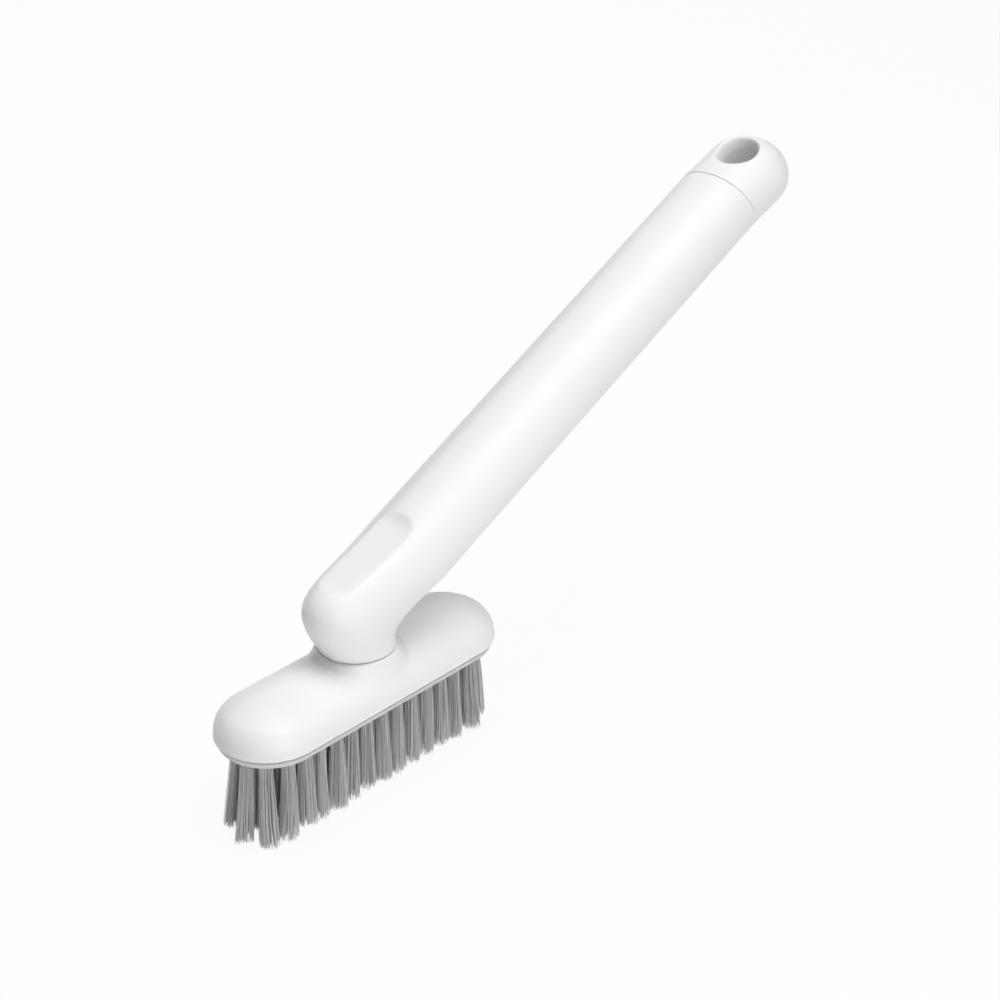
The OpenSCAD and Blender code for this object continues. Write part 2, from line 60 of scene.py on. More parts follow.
CAP_STRAIGHT, DOME_L, HOLE_R, HOLE_AT, MOUTH_W, MOUTH_LIFT = 15.4, 13.4, 6.0, 15.4, 4.5, 0.3
PARTING_DEPTH, PARTING_AT, PARTING_HALF = 0.2, 6.0, 0.2
SPIGOT_L, SPIGOT_WALL, BORE_WALL = 12.0, 2.0, 2.2
SEAM_W, SEAM_DEPTH, SEAM_EDGE, CAP_DROOP = 0.45, 0.5, 0.1, 1.1

PLATE_INSET, REVEAL, PLATE_EDGE, TONGUE_H, TONGUE_GAP = 0.95, 1.3, 1.5, 3.4, 0.15
TUFT_HOLE_R, BRISTLE_L, TUFT_PITCH, ROW_PITCH = 2.2, 29.0, 6.3, 6.4
ROW_TUFTS, END_TUFTS, CORE_X = 11, 5, 40.45

GROOVE_IN = JOURNAL_R + RUNNING_GAP + GROOVE_WALL
GROOVE_OUT = GROOVE_IN + GROOVE_W
END_R = HEAD_W / 2
SPINE = HEAD_L / 2 - END_R
ARCH_Z = CROWN_H - CROWN_R
SHOULDER_X = END_R - SHOULDER_R
SHOULDER_Z = ARCH_Z + math.sqrt((CROWN_R - SHOULDER_R) ** 2 - SHOULDER_X**2)
FOOT_Z = COLLAR_H + SEAM_GAP
WEB_Z = COLLAR_H - WEB_T
ALONG = np.array([math.cos(HANDLE_RISE), 0, math.sin(HANDLE_RISE)])
UP = np.array([-math.sin(HANDLE_RISE), 0, math.cos(HANDLE_RISE)])
SIDE = np.array([0.0, 1.0, 0.0])
AXIS_START = np.array([0, 0, AXIS_H])
HALF_W, HALF_T = HANDLE_W / 2, HANDLE_T / 2
DOME_START = HANDLE_L + CAP_STRAIGHT
HOLE_S = HANDLE_L + HOLE_AT
PLATE_FACE = REVEAL + PLATE_EDGE
RIM_Z = BRISTLE_L + PLATE_FACE
PLATE_R = END_R - PLATE_INSET
REACH_X = DOME_START * ALONG[0] + math.hypot(DOME_L * ALONG[0], HALF_T * ALONG[2]) + CAP_DROOP * ALONG[2]
ORIGIN_X = (REACH_X - HEAD_L / 2) / 2
STAND = np.array([-ORIGIN_X, 0, RIM_Z])
MM = 0.001


def row(points):
    """Points in the row frame, in metres, from points in the head's frame, in millimetres."""
    return (np.asarray(points, float) + STAND) * MM


# Camera
CAMERA_AZ, CAMERA_EL, CAMERA_ROLL = math.radians(-47.293), math.radians(27.945), math.radians(-0.580)
CAMERA_DISTANCE, CAMERA_RIGHT, CAMERA_UP = 692.25, 43.21, 54.23
FOCAL_PIXELS, FRAME_PIXELS, SENSOR = 2294.4, 1000, 36.0


def make_camera():
    back = np.array([
        math.sin(CAMERA_AZ) * math.cos(CAMERA_EL),
        -math.cos(CAMERA_AZ) * math.cos(CAMERA_EL),
        math.sin(CAMERA_EL),
    ])
    right = np.array([math.cos(CAMERA_AZ), math.sin(CAMERA_AZ), 0])
    up = np.cross(back, right)
    place = row(right * CAMERA_RIGHT + up * CAMERA_UP + back * CAMERA_DISTANCE)
    rolled_right = right * math.cos(CAMERA_ROLL) + up * math.sin(CAMERA_ROLL)
    rolled_up = up * math.cos(CAMERA_ROLL) - right * math.sin(CAMERA_ROLL)
    data = bpy.data.cameras.new("camera")
    data.sensor_width = SENSOR
    data.lens = FOCAL_PIXELS / FRAME_PIXELS * SENSOR
    data.clip_start, data.clip_end = 0.01, 20
    camera = bpy.data.objects.new("camera", data)
    bpy.context.scene.collection.objects.link(camera)
    turn = Matrix([rolled_right, rolled_up, back]).transposed().to_4x4()
    camera.matrix_world = Matrix.Translation(Vector(place)) @ turn
    bpy.context.scene.camera = camera


make_camera()


# Mesh helpers
# Points closer than this, in metres, become one
WELD = 2e-7
CASING_CREASE, STRAND_CREASE = math.radians(35), math.radians(80)


def make_object(name, points, faces):
    """A mesh object from points in millimetres."""
    mesh = bpy.data.meshes.new(name)
    mesh.from_pydata([tuple(p) for p in row(points)], [], faces)
    piece = bpy.data.objects.new(name, mesh)
    bpy.context.scene.collection.objects.link(piece)
    return piece


def smooth(piece, crease):
    """Smooth shading, with sharp edges where faces meet at more than an angle."""
    piece.data.shade_smooth()
    piece.data.set_sharp_from_angle(angle=crease)


def make_piece(name, points, faces):
    """A mesh object that is welded, with its faces turned outward."""
    piece = make_object(name, points, faces)
    work = bmesh.new()
    work.from_mesh(piece.data)
    bmesh.ops.remove_doubles(work, verts=work.verts, dist=WELD)
    bmesh.ops.recalc_face_normals(work, faces=work.faces)
    work.to_mesh(piece.data)
    work.free()
    smooth(piece, CASING_CREASE)
    return piece


def ring_faces(rows, columns, first=0, wrap_rows=False):
    """Quads between rings of points that are stored one ring after another."""
    faces = []
    for r in range(rows if wrap_rows else rows - 1):
        low, high = first + r * columns, first + (r + 1) % rows * columns
        for c in range(columns):
            d = (c + 1) % columns
            faces.append((low + c, low + d, high + d, high + c))
    return faces


def fan(ring_start, columns, centre):
    """Triangles from a ring of points to one point in its middle."""
    return [(ring_start + c, ring_start + (c + 1) % columns, centre) for c in range(columns)]


def capped_rings(rings):
    """Points and faces of a closed solid through rings, with a fan on its first and last ring."""
    rings = [np.asarray(r, float) for r in rings]
    columns = len(rings[0])
    points = np.vstack(rings + [rings[0].mean(0)[None], rings[-1].mean(0)[None]])
    faces = ring_faces(len(rings), columns)
    last = (len(rings) - 1) * columns
    faces += fan(0, columns, len(points) - 2) + fan(last, columns, len(points) - 1)
    return points, faces


def quarter(steps, start=0):
    """Angles that turn a quarter circle in steps."""
    return [math.radians(90) * i / steps for i in range(start, steps + 1)]


# Handle
RING_COLUMNS = 192
RING_TURN = np.linspace(0, 2 * math.pi, RING_COLUMNS, endpoint=False)


def in_plane(along, up):
    return AXIS_START + along * ALONG + up * UP


def bezier(p, t):
    return (1 - t) ** 3 * p[0] + 3 * (1 - t) ** 2 * t * p[1] + 3 * (1 - t) * t * t * p[2] + t**3 * p[3]


def recess_dip(p):
    """Depth of the thumb recess under points on top of the handle."""
    s = (p - AXIS_START) @ ALONG
    past = np.maximum(np.maximum(RECESS_START + RECESS_ROUND - s, 0), s - RECESS_END + RECESS_ROUND)
    d = np.hypot(past / RECESS_ROUND, p[:, 1] / RECESS_HALF)
    on_top = (p - AXIS_START) @ UP > 0
    return np.where(on_top, RECESS_DEPTH * np.maximum(0, 1 - d * d) ** RECESS_POWER, 0)


def handle_ring(centre, up, half):
    p = centre + np.cos(RING_TURN)[:, None] * up - (half * np.sin(RING_TURN))[:, None] * SIDE
    return p - recess_dip(p)[:, None] * UP


def tube_ring(s, inset):
    return handle_ring(in_plane(s, 0), (HALF_T - inset) * UP, HALF_W - inset)


def foot_ring(radius, z):
    return np.array([0, 0, z]) - radius * np.stack(
        [np.cos(RING_TURN), np.sin(RING_TURN), np.zeros(RING_COLUMNS)], 1
    )


def handle_rings():
    neck_z = FOOT_Z + LIP_R
    outer_foot, inner_foot = np.array([-NECK_R, 0, neck_z]), np.array([NECK_R, 0, neck_z])
    outer_tube, inner_tube = in_plane(ELBOW_L, HALF_T), in_plane(ELBOW_L, -HALF_T)
    bulge = np.array([-math.sin(ELBOW_BULGE), 0, math.cos(ELBOW_BULGE)])
    crook = np.array([-math.sin(CROOK_LEAN), 0, math.cos(CROOK_LEAN)])
    outer = [outer_foot, outer_foot + ELBOW_PULL * bulge, outer_tube - ELBOW_PULL * ALONG, outer_tube]
    inner = [inner_foot, inner_foot + CROOK_FOOT * crook, inner_tube - CROOK_TUBE * ALONG, inner_tube]

    socket_r, socket_top = PLUG_R + RUNNING_GAP, FOOT_Z + PLUG_L + PUSH_GAP
    rings = [foot_ring(socket_r, socket_top), foot_ring(socket_r, FOOT_Z)]
    for a in quarter(4):
        rings.append(foot_ring(NECK_R - LIP_R * (1 - math.sin(a)), FOOT_Z + LIP_R * (1 - math.cos(a))))
    elbow_steps = 110
    for i in range(1, elbow_steps + 1):
        t = i / elbow_steps
        top, low = bezier(outer, t), bezier(inner, t)
        half = NECK_R + (HALF_W - NECK_R) * t**ELBOW_SWELL
        rings.append(handle_ring((top + low) / 2, (top - low) / 2, half))
    recess_steps, tube_steps = 16, 24
    past_recess = RECESS_END + 0.5
    for i in range(1, recess_steps + 1):
        rings.append(tube_ring(ELBOW_L + (past_recess - ELBOW_L) * i / recess_steps, 0))
    for i in range(1, tube_steps + 1):
        rings.append(tube_ring(past_recess + (HANDLE_L - SEAM_EDGE - past_recess) * i / tube_steps, 0))
    for a in quarter(3, 1):
        rings.append(tube_ring(HANDLE_L - SEAM_EDGE * (1 - math.sin(a)), SEAM_EDGE * (1 - math.cos(a))))
    rings.append(tube_ring(HANDLE_L, HANDLE_WALL))
    rings.append(tube_ring(HOLLOW_START, HANDLE_WALL))
    return rings


handle_casing = make_piece("handle_casing", *capped_rings(handle_rings()))


# Cap
def cap_height(s, y):
    """Height of the cap's surface above its middle plane."""
    past = np.maximum(0, s - DOME_START) / DOME_L
    return HALF_T * np.sqrt(np.maximum(0, 1 - (y / HALF_W) ** 2 - past**2))


def droop(s):
    """Drop of the cap's middle below the handle's axis."""
    u = np.clip((s - HANDLE_L) / CAP_STRAIGHT, 0, 1)
    return CAP_DROOP * u * u * (3 - 2 * u)


def cap_point(s, y, h):
    along = AXIS_START + np.multiply.outer(s, ALONG)
    return along + np.multiply.outer(y, SIDE) + np.multiply.outer(h - droop(s), UP)


def make_cap():
    seam_l = HOLE_AT - SEAM_W - SEAM_EDGE
    corner = math.pi - math.atan2(HALF_W, seam_l)
    side_columns, seam_columns = 120, 48
    turn = np.concatenate([
        np.linspace(-corner, corner, side_columns, endpoint=False),
        np.linspace(corner, 2 * math.pi - corner, seam_columns, endpoint=False),
    ])
    c, s = np.cos(turn), np.sin(turn)
    reach = np.where(
        c >= 0,
        1 / np.sqrt((c / DOME_L) ** 2 + (s / HALF_W) ** 2),
        np.minimum(HALF_W / np.maximum(np.abs(s), 1e-9), seam_l / np.maximum(-c, 1e-9)),
    )

    def surface(radius):
        return cap_height(HOLE_S + radius * c, radius * s)

    # The mouth's curve, and where each spoke's curve comes out through the surface
    foot = PARTING_AT + PARTING_HALF
    rise = HALF_T + MOUTH_LIFT - foot

    def mouth_height(radius):
        return foot + rise * np.sqrt(np.maximum(0, 1 - (1 - (radius - HOLE_R) / MOUTH_W) ** 2))

    low, high = HOLE_R + 0 * c, HOLE_R + MOUTH_W + 0 * c
    bisections = 40
    for _ in range(bisections):
        middle = (low + high) / 2
        under = mouth_height(middle) < surface(middle)
        low, high = np.where(under, middle, low), np.where(under, high, middle)
    edge = (low + high) / 2
    soft = 0.8
    start = edge + soft
    turn_in = np.arccos(np.clip(1 - (edge - HOLE_R) / MOUTH_W, -1, 1))
    turn_end = np.maximum(0, turn_in - soft / np.hypot(MOUTH_W * np.sin(turn_in), rise * np.cos(turn_in)))
    end_r = HOLE_R + MOUTH_W * (1 - np.cos(turn_end))
    end_h = foot + rise * np.sin(turn_end)

    half_rows = []
    surface_steps, edge_steps, mouth_steps = 30, 6, 12
    for i in range(surface_steps):
        u = math.sin(math.radians(90) * (1 - i / surface_steps))
        r = start + (reach - start) * u
        half_rows.append((r, surface(r)))
    for i in range(edge_steps):
        t = i / edge_steps
        r = (1 - t) ** 2 * start + 2 * (1 - t) * t * edge + t * t * end_r
        h = (1 - t) ** 2 * surface(start) + 2 * (1 - t) * t * surface(edge) + t * t * end_h
        half_rows.append((r, h))
    for i in range(mouth_steps + 1):
        a = turn_end * (1 - i / mouth_steps)
        half_rows.append((HOLE_R + MOUTH_W * (1 - np.cos(a)), foot + rise * np.sin(a)))
    bore_rows = [
        (HOLE_R + PARTING_DEPTH, PARTING_AT),
        (HOLE_R, PARTING_AT - PARTING_HALF),
    ]
    all_rows = half_rows + [(r + 0 * c, h + 0 * c) for r, h in bore_rows]
    all_rows += [(r, -h) for r, h in reversed(half_rows)]
    rings = [cap_point(HOLE_S + r * c, r * s, h) for r, h in all_rows]
    columns = len(turn)
    points = list(np.vstack(rings))
    faces = ring_faces(len(rings), columns)

    # The seam's oval loop, then the rounded edge, the seam face and the hollow spigot
    top = list(range(side_columns, columns)) + [0]
    bottom = [(len(rings) - 1) * columns + k for k in top]
    loop = top + bottom[-2:0:-1]
    flat = np.array([points[k] for k in loop]) - AXIS_START
    oval = np.arctan2(flat[:, 1] / HALF_W, (flat @ UP) / HALF_T)

    def oval_loop(at, inset):
        return cap_point(at + 0 * oval, (HALF_W - inset) * np.sin(oval), (HALF_T - inset) * np.cos(oval))

    spigot = HANDLE_WALL + PUSH_GAP
    loops = [
        oval_loop(HANDLE_L + SEAM_W + SEAM_EDGE * (1 - math.sin(a)), SEAM_EDGE * (1 - math.cos(a)))
        for a in quarter(3, 1)
    ]
    loops += [
        oval_loop(HANDLE_L + SEAM_W, SEAM_DEPTH),
        oval_loop(HANDLE_L, SEAM_DEPTH),
        oval_loop(HANDLE_L, spigot),
        oval_loop(HANDLE_L - SPIGOT_L, spigot),
        oval_loop(HANDLE_L - SPIGOT_L, spigot + SPIGOT_WALL),
        oval_loop(HANDLE_L + HOLE_AT - HOLE_R - BORE_WALL, spigot + SPIGOT_WALL),
    ]
    before = loop
    for ring in loops:
        first = len(points)
        points += list(ring)
        after = list(range(first, first + len(loop)))
        for k in range(len(loop)):
            m = (k + 1) % len(loop)
            faces.append((before[k], before[m], after[m], after[k]))
        before = after
    points.append(loops[-1].mean(0))
    faces += fan(before[0], len(loop), len(points) - 1)
    return make_piece("cap_casing", np.array(points), faces)


cap_casing = make_cap()


# Head shell
ARC_STEPS, SIDE_STEPS = 72, 60


def stadium(radius):
    """Points round a stadium from the middle of its rear end."""
    points = []
    for sign in (1, -1):
        for i in range(ARC_STEPS // 2):
            a = math.pi * (i / ARC_STEPS)
            points.append((sign * (SPINE + radius * math.cos(a)), sign * radius * math.sin(a)))
        for i in range(SIDE_STEPS):
            points.append((sign * SPINE * (1 - 2 * i / SIDE_STEPS), sign * radius))
        for i in range(ARC_STEPS // 2):
            a = math.pi * (0.5 + i / ARC_STEPS)
            points.append((sign * (-SPINE + radius * math.cos(a)), sign * radius * math.sin(a)))
    return np.array(points)


def at_height(plan, z):
    return np.column_stack([plan, np.broadcast_to(z, len(plan))])


def arch(d, wall):
    """Height of the crown's arch, drawn in by a wall, at a distance from the spine."""
    crown, shoulder = CROWN_R - wall, SHOULDER_R - wall
    tangent_x = SHOULDER_X * crown / (CROWN_R - SHOULDER_R)
    over = ARCH_Z + np.sqrt(np.maximum(0, crown**2 - d**2))
    round_off = SHOULDER_Z + np.sqrt(np.maximum(0, shoulder**2 - (d - SHOULDER_X) ** 2))
    return np.where(d < tangent_x, over, round_off)


def spine_distance(plan):
    return np.hypot(np.maximum(0, np.abs(plan[:, 0]) - SPINE), plan[:, 1])


def shell_height(plan):
    """Height of the crown and of the collar's flank, with a soft blend where they meet."""
    crown = arch(spine_distance(plan), 0)
    flank = COLLAR_H - LIP_R - FLANK_SLOPE * np.maximum(0, np.linalg.norm(plan, axis=1) - COLLAR_R)
    near = np.maximum(FLANK_BLEND - np.abs(crown - flank), 0)
    return np.minimum(COLLAR_H - LIP_R, np.maximum(crown, flank) + near**2 / (4 * FLANK_BLEND))


# How far the rim's small lip stands out at each height
RIM_LIP = ((-0.1, 0), (0.12, 0.02), (0.2, 0.1), (0.18, 0.22), (0.06, 0.45), (0, 0.7), (0, 1.1))
# Degrees that the groove runs on past the lug's reach, so that its slanted end walls clear the lug
GROOVE_SLACK = 10.0
WALL_SLANT = 0.001


def make_head():
    outline = stadium(END_R)
    inside = stadium(END_R - SHELL_WALL)
    spoke = outline / np.linalg.norm(outline, axis=1)[:, None]

    def circle(radius, z):
        return at_height(spoke * radius, z)

    rings = [at_height(inside, 0)]
    for out, z in RIM_LIP:
        rings.append(at_height(stadium(END_R + out), z))
    rings.append(at_height(outline, SHOULDER_Z))
    climb = 100
    for i in range(1, climb + 1):
        share = (1 - math.cos(math.pi * i / climb)) / 2
        plan = outline + (spoke * COLLAR_R - outline) * share
        rings.append(at_height(plan, shell_height(plan)))
    for a in quarter(4, 1):
        drawn_in = LIP_R * (1 - math.cos(a))
        rings.append(circle(COLLAR_R - drawn_in, COLLAR_H - LIP_R * (1 - math.sin(a))))
    bearing = np.degrees(np.arctan2(spoke[:, 1], spoke[:, 0]))
    groove_end = SWIVEL_STOP + LUG_HALF + STOP_SLACK + GROOVE_SLACK
    groove_z = np.where(np.abs(bearing) < groove_end, COLLAR_H - GROOVE_DEPTH, COLLAR_H)
    rings += [
        circle(GROOVE_OUT, COLLAR_H),
        circle(GROOVE_OUT - WALL_SLANT, groove_z),
        circle(GROOVE_IN + WALL_SLANT, groove_z),
        circle(GROOVE_IN, COLLAR_H),
        circle(JOURNAL_R + RUNNING_GAP, COLLAR_H),
        circle(JOURNAL_R + RUNNING_GAP, WEB_Z),
        circle(POCKET_R, WEB_Z),
    ]
    ceiling = 20
    for i in range(ceiling + 1):
        share = math.sin(math.radians(90) * i / ceiling)
        plan = spoke * POCKET_R + (inside - spoke * POCKET_R) * share
        rings.append(at_height(plan, arch(spine_distance(plan), SHELL_WALL)))
    faces = ring_faces(len(rings), len(outline), wrap_rows=True)
    return make_piece("head_casing", np.vstack(rings), faces)


head_casing = make_head()


# Tuft places, as in the CAD part
def tuft_rows():
    """Each node's tufts, as their place and the direction that leads outward at an end."""
    row_half = (ROW_TUFTS - 1) / 2 * TUFT_PITCH
    inner_half = row_half + TUFT_PITCH / 2
    outer, inner = 1.5 * ROW_PITCH, 0.5 * ROW_PITCH
    straight = [i * TUFT_PITCH - row_half for i in range(ROW_TUFTS)]
    between = [i * TUFT_PITCH - inner_half for i in range(ROW_TUFTS + 1)]
    free = SPINE - row_half
    loop_l = 2 * free + math.pi * outer
    rear = []
    for i in range(1, END_TUFTS + 1):
        d = loop_l * i / (END_TUFTS + 1)
        a = min(max((d - free) / outer, 0), math.pi)
        past = loop_l - d if d > loop_l - free else min(d, free)
        out_x, out_y = math.sin(a), -math.cos(a)
        rear.append((row_half + past + outer * out_x, outer * out_y, out_x, out_y))
    rear.append((CORE_X, 0, 1, 0))
    return {
        "bristles_left_row": [(x, outer, 0, 0) for x in straight],
        "bristles_right_row": [(x, -outer, 0, 0) for x in straight],
        "bristles_inner_left": [(x, inner, 0, 0) for x in between],
        "bristles_inner_right": [(x, -inner, 0, 0) for x in between],
        "bristles_front_end": [(-x, y, -u, v) for x, y, u, v in rear],
        "bristles_rear_end": rear,
    }


rows = tuft_rows()


# Bristle plate
def make_plate():
    edge_round, top_round = 0.45, 0.2
    hole_sides, hole_lip, lip_depth, hole_depth = 28, 0.12, 0.15, 4
    # A triangle nearer to a tuft than this share of the hole's radius is in the hole
    hole_share = 0.97
    tongue_r = SHOULDER_X - TONGUE_GAP + math.sqrt(
        (SHOULDER_R - SHELL_WALL) ** 2 - max(0, TONGUE_H - SHOULDER_Z) ** 2
    )
    rings = []
    for a in quarter(5):
        rings.append(at_height(
            stadium(PLATE_R - edge_round * (1 - math.sin(a))), -PLATE_FACE + edge_round * (1 - math.cos(a))
        ))
    for a in quarter(3):
        rings.append(at_height(
            stadium(PLATE_R - top_round * (1 - math.cos(a))), -REVEAL - top_round * (1 - math.sin(a))
        ))
    rings.append(at_height(stadium(tongue_r), -REVEAL))
    rings.append(at_height(stadium(tongue_r), TONGUE_H))
    columns = len(rings[0])
    points = list(np.vstack(rings))
    faces = ring_faces(len(rings), columns)
    last = len(points) - columns
    points.append(np.array([0, 0, TONGUE_H]))
    faces += fan(last, columns, len(points) - 1)

    # The flat underside, with a hole for each tuft, and the walls of the holes
    face_z = -PLATE_FACE
    holes = [(x, y) for places in rows.values() for x, y, _, _ in places]
    turn = np.linspace(0, 2 * math.pi, hole_sides, endpoint=False)
    plan = [Vector(p[:2]) for p in rings[0]]
    edges = [(k, (k + 1) % columns) for k in range(columns)]
    for x, y in holes:
        first = len(plan)
        plan += [Vector((x + TUFT_HOLE_R * math.cos(a), y + TUFT_HOLE_R * math.sin(a))) for a in turn]
        edges += [(first + k, first + (k + 1) % hole_sides) for k in range(hole_sides)]
    verts, _, tris, _, _, _ = geometry.delaunay_2d_cdt(plan, edges, [], 0, 1e-6)
    spots = np.array(holes)
    first = len(points)
    points += [np.array([v.x, v.y, face_z]) for v in verts]
    corners = np.array([[v.x, v.y] for v in verts])
    for t in tris:
        middle = corners[list(t)].mean(0)
        inside_hole = np.min(np.linalg.norm(spots - middle, axis=1)) < TUFT_HOLE_R * hole_share
        outside = spine_distance(middle[None])[0] > PLATE_R - edge_round
        if not inside_hole and not outside:
            faces.append(tuple(first + k for k in t))
    narrow = TUFT_HOLE_R - hole_lip
    wall_rings = ((TUFT_HOLE_R, face_z), (narrow, face_z + lip_depth), (narrow, face_z + hole_depth))
    for x, y in holes:
        wall = len(points)
        for radius, z in wall_rings:
            points += [np.array([x + radius * math.cos(a), y + radius * math.sin(a), z]) for a in turn]
        faces += ring_faces(len(wall_rings), hole_sides, wall)
        points.append(np.array([x, y, face_z + hole_depth]))
        faces += fan(wall + 2 * hole_sides, hole_sides, len(points) - 1)
    return make_piece("bristle_plate_face", np.array(points), faces)


plate_face = make_plate()


# Bristles
FILAMENTS = 150
FILAMENT_SEGMENTS = 7
FILAMENT_R, FILAMENT_SIDES, TIP_TAPER = 0.12, 3, 0.6
ROOT_R, TIP_R, BEND_POWER = 1.8, 3.1, 1.3
# Heights of the tips and of the lowest allowed tip above the floor, and of the roots above the plate's face
TIP_LIFT, GROUND_LIFT, ROOT_LIFT = 1.35, 0.02, 2.6
GOLDEN = math.radians(137.508)
# A tuft's filaments part into clumps, the last of them in the middle
CLUMPS, CLUMP_REACH, CLUMP_PULL, CLUMP_DRIFT = 7, 0.66, 0.12, 0.2
# How far a filament or a whole tuft strays at the tips and bows at half its length
TIP_STRAY, TUFT_STRAY, TIP_BOW, TUFT_BOW = 0.16, 0.2, 0.16, 0.1
# How much a filament, a clump and a tuft may be short of the full length
TIP_SHORT, CLUMP_SHORT, TUFT_SHORT = 0.55, 0.7, 0.25
FLARE_LOW, FLARE_HIGH = 0.96, 1.06
# How far the tips of an end tuft lean outward and towards the front, and how much longer it is
FRONT_SPLAY = [(0.3, 2.1, 0.6), (3.0, 0, 1.6), (3.4, 0, 1.6), (3.2, 0, 1.6), (1.0, 0, 0.5), (1.6, 0, 0.6)]
REAR_SPLAY = [(0.8, 0, 0), (1.2, 0, 0), (1.4, 0, 0.2), (1.2, 0, 0), (0.8, 0, 0), (0.6, 0, 0)]
ROW_SPLAY = (0, 0.9, 0)
END_SPLAY = {"bristles_front_end": FRONT_SPLAY, "bristles_rear_end": REAR_SPLAY}
FIRST_SEED = 11


def tuft_filaments(place, rng, splay, flare):
    """Centre lines of one tuft's filaments: (filament, step, xyz)."""
    x, y, out_x, out_y = place
    outward, forward, reach = splay
    n = np.arange(FILAMENTS)
    share = np.sqrt((n + 0.5) / FILAMENTS)
    turn = n * GOLDEN + rng.uniform(0, 2 * math.pi)
    root = np.stack([share * np.cos(turn), share * np.sin(turn)], 1)
    clump_turn = rng.uniform(0, 2 * math.pi) + np.arange(CLUMPS) * 2 * math.pi / (CLUMPS - 1)
    clump_at = CLUMP_REACH * np.stack([np.cos(clump_turn), np.sin(clump_turn)], 1)
    clump_at[-1] = 0
    nearest = np.argmin(np.linalg.norm(root[:, None] - clump_at[None], axis=2), axis=1)
    drift = rng.normal(0, CLUMP_DRIFT, (CLUMPS, 2))
    tip = root * flare * TIP_R
    tip += (clump_at[nearest] * flare * TIP_R - tip) * CLUMP_PULL + drift[nearest]
    tip += rng.normal(0, TIP_STRAY, (FILAMENTS, 2))
    tip += rng.normal(0, TUFT_STRAY, 2) + np.array([out_x, out_y]) * outward - np.array([forward, 0])
    bow = rng.normal(0, TIP_BOW, (FILAMENTS, 2)) + rng.normal(0, TUFT_BOW, 2)
    short = np.abs(rng.normal(0, TIP_SHORT, FILAMENTS)) + CLUMP_SHORT * rng.uniform(0, 1, CLUMPS)[nearest]
    full = TIP_LIFT - RIM_Z - reach
    low = np.maximum(full + short + rng.normal(0, TUFT_SHORT), GROUND_LIFT - RIM_Z)
    t = np.linspace(0, 1, FILAMENT_SEGMENTS + 1)
    top = ROOT_LIFT - PLATE_FACE
    centre = np.zeros((FILAMENTS, len(t), 3))
    for k, step in enumerate(t):
        bend = step**BEND_POWER
        sway = bow * math.sin(math.pi * step)
        centre[:, k, :2] = (x, y) + root * ROOT_R * (1 - bend) + tip * bend + sway
        centre[:, k, 2] = top + (low - top) * step
    return centre


def make_bristles(name, places, seed):
    rng = np.random.default_rng(seed)
    points, faces = [], []
    sides = FILAMENT_SIDES
    for place, splay in zip(places, END_SPLAY.get(name, [ROW_SPLAY] * len(places))):
        for line in tuft_filaments(place, rng, splay, rng.uniform(FLARE_LOW, FLARE_HIGH)):
            first = len(points)
            turn = rng.uniform(0, 2 * math.pi)
            for k, centre in enumerate(line):
                x, y, z = centre
                radius = FILAMENT_R * (1 if k < FILAMENT_SEGMENTS else TIP_TAPER)
                for side in range(sides):
                    a = turn + side * 2 * math.pi / sides
                    points.append((x + radius * math.cos(a), y + radius * math.sin(a), z))
            faces += ring_faces(FILAMENT_SEGMENTS + 1, sides, first)
            last = first + FILAMENT_SEGMENTS * sides
            faces.append((first + 2, first + 1, first))
            faces.append((last, last + 1, last + 2))
    piece = make_object(name + "_filaments", points, faces)
    smooth(piece, STRAND_CREASE)
    return piece


bristles = {
    name: make_bristles(name, places, seed)
    for seed, (name, places) in enumerate(rows.items(), FIRST_SEED)
}


# Materials
# The part of a noise's range that is used
NOISE_LOW, NOISE_HIGH = 0.3, 0.7


def new_material(name, colour, roughness, specular=0.5, metallic=0.0):
    material = bpy.data.materials.new(name)
    material.use_nodes = True
    shader = material.node_tree.nodes["Principled BSDF"]
    shader.inputs["Base Color"].default_value = (*colour, 1)
    shader.inputs["Roughness"].default_value = roughness
    shader.inputs["Specular IOR Level"].default_value = specular
    shader.inputs["Metallic"].default_value = metallic
    return material, shader


def add_node(material, kind, **inputs):
    """A new node, with its inputs' values given by name."""
    node = material.node_tree.nodes.new(kind)
    for name, value in inputs.items():
        node.inputs[name.replace("_", " ")].default_value = value
    return node


def noise(material, scale, detail=3.0, stretch=(1, 1, 1)):
    """Noise in the row frame's own space, in units of a metre."""
    link = material.node_tree.links.new
    place = add_node(material, "ShaderNodeTexCoord")
    fit = add_node(material, "ShaderNodeMapping", Scale=stretch)
    texture = add_node(material, "ShaderNodeTexNoise", Scale=scale, Detail=detail)
    link(place.outputs["Object"], fit.inputs["Vector"])
    link(fit.outputs["Vector"], texture.inputs["Vector"])
    return texture.outputs["Fac"]


def map_range(material, value, from_low, from_high, low, high):
    node = add_node(
        material, "ShaderNodeMapRange", From_Min=from_low, From_Max=from_high, To_Min=low, To_Max=high
    )
    material.node_tree.links.new(value, node.inputs["Value"])
    return node


def spread(material, value, low, high):
    """Spreads a noise between two levels."""
    return map_range(material, value, NOISE_LOW, NOISE_HIGH, low, high).outputs["Result"]


def tint(material, shader, factor, colour_a, colour_b):
    """Mixes two colours into the shader's base colour."""
    mix = material.node_tree.nodes.new("ShaderNodeMix")
    mix.data_type = "RGBA"
    mix.inputs["A"].default_value = (*colour_a, 1)
    mix.inputs["B"].default_value = (*colour_b, 1)
    link = material.node_tree.links.new
    link(factor, mix.inputs["Factor"])
    link(mix.outputs["Result"], shader.inputs["Base Color"])


def bump(material, shader, height, distance):
    node = add_node(material, "ShaderNodeBump", Strength=1.0, Distance=distance)
    link = material.node_tree.links.new
    link(height, node.inputs["Height"])
    link(node.outputs["Normal"], shader.inputs["Normal"])


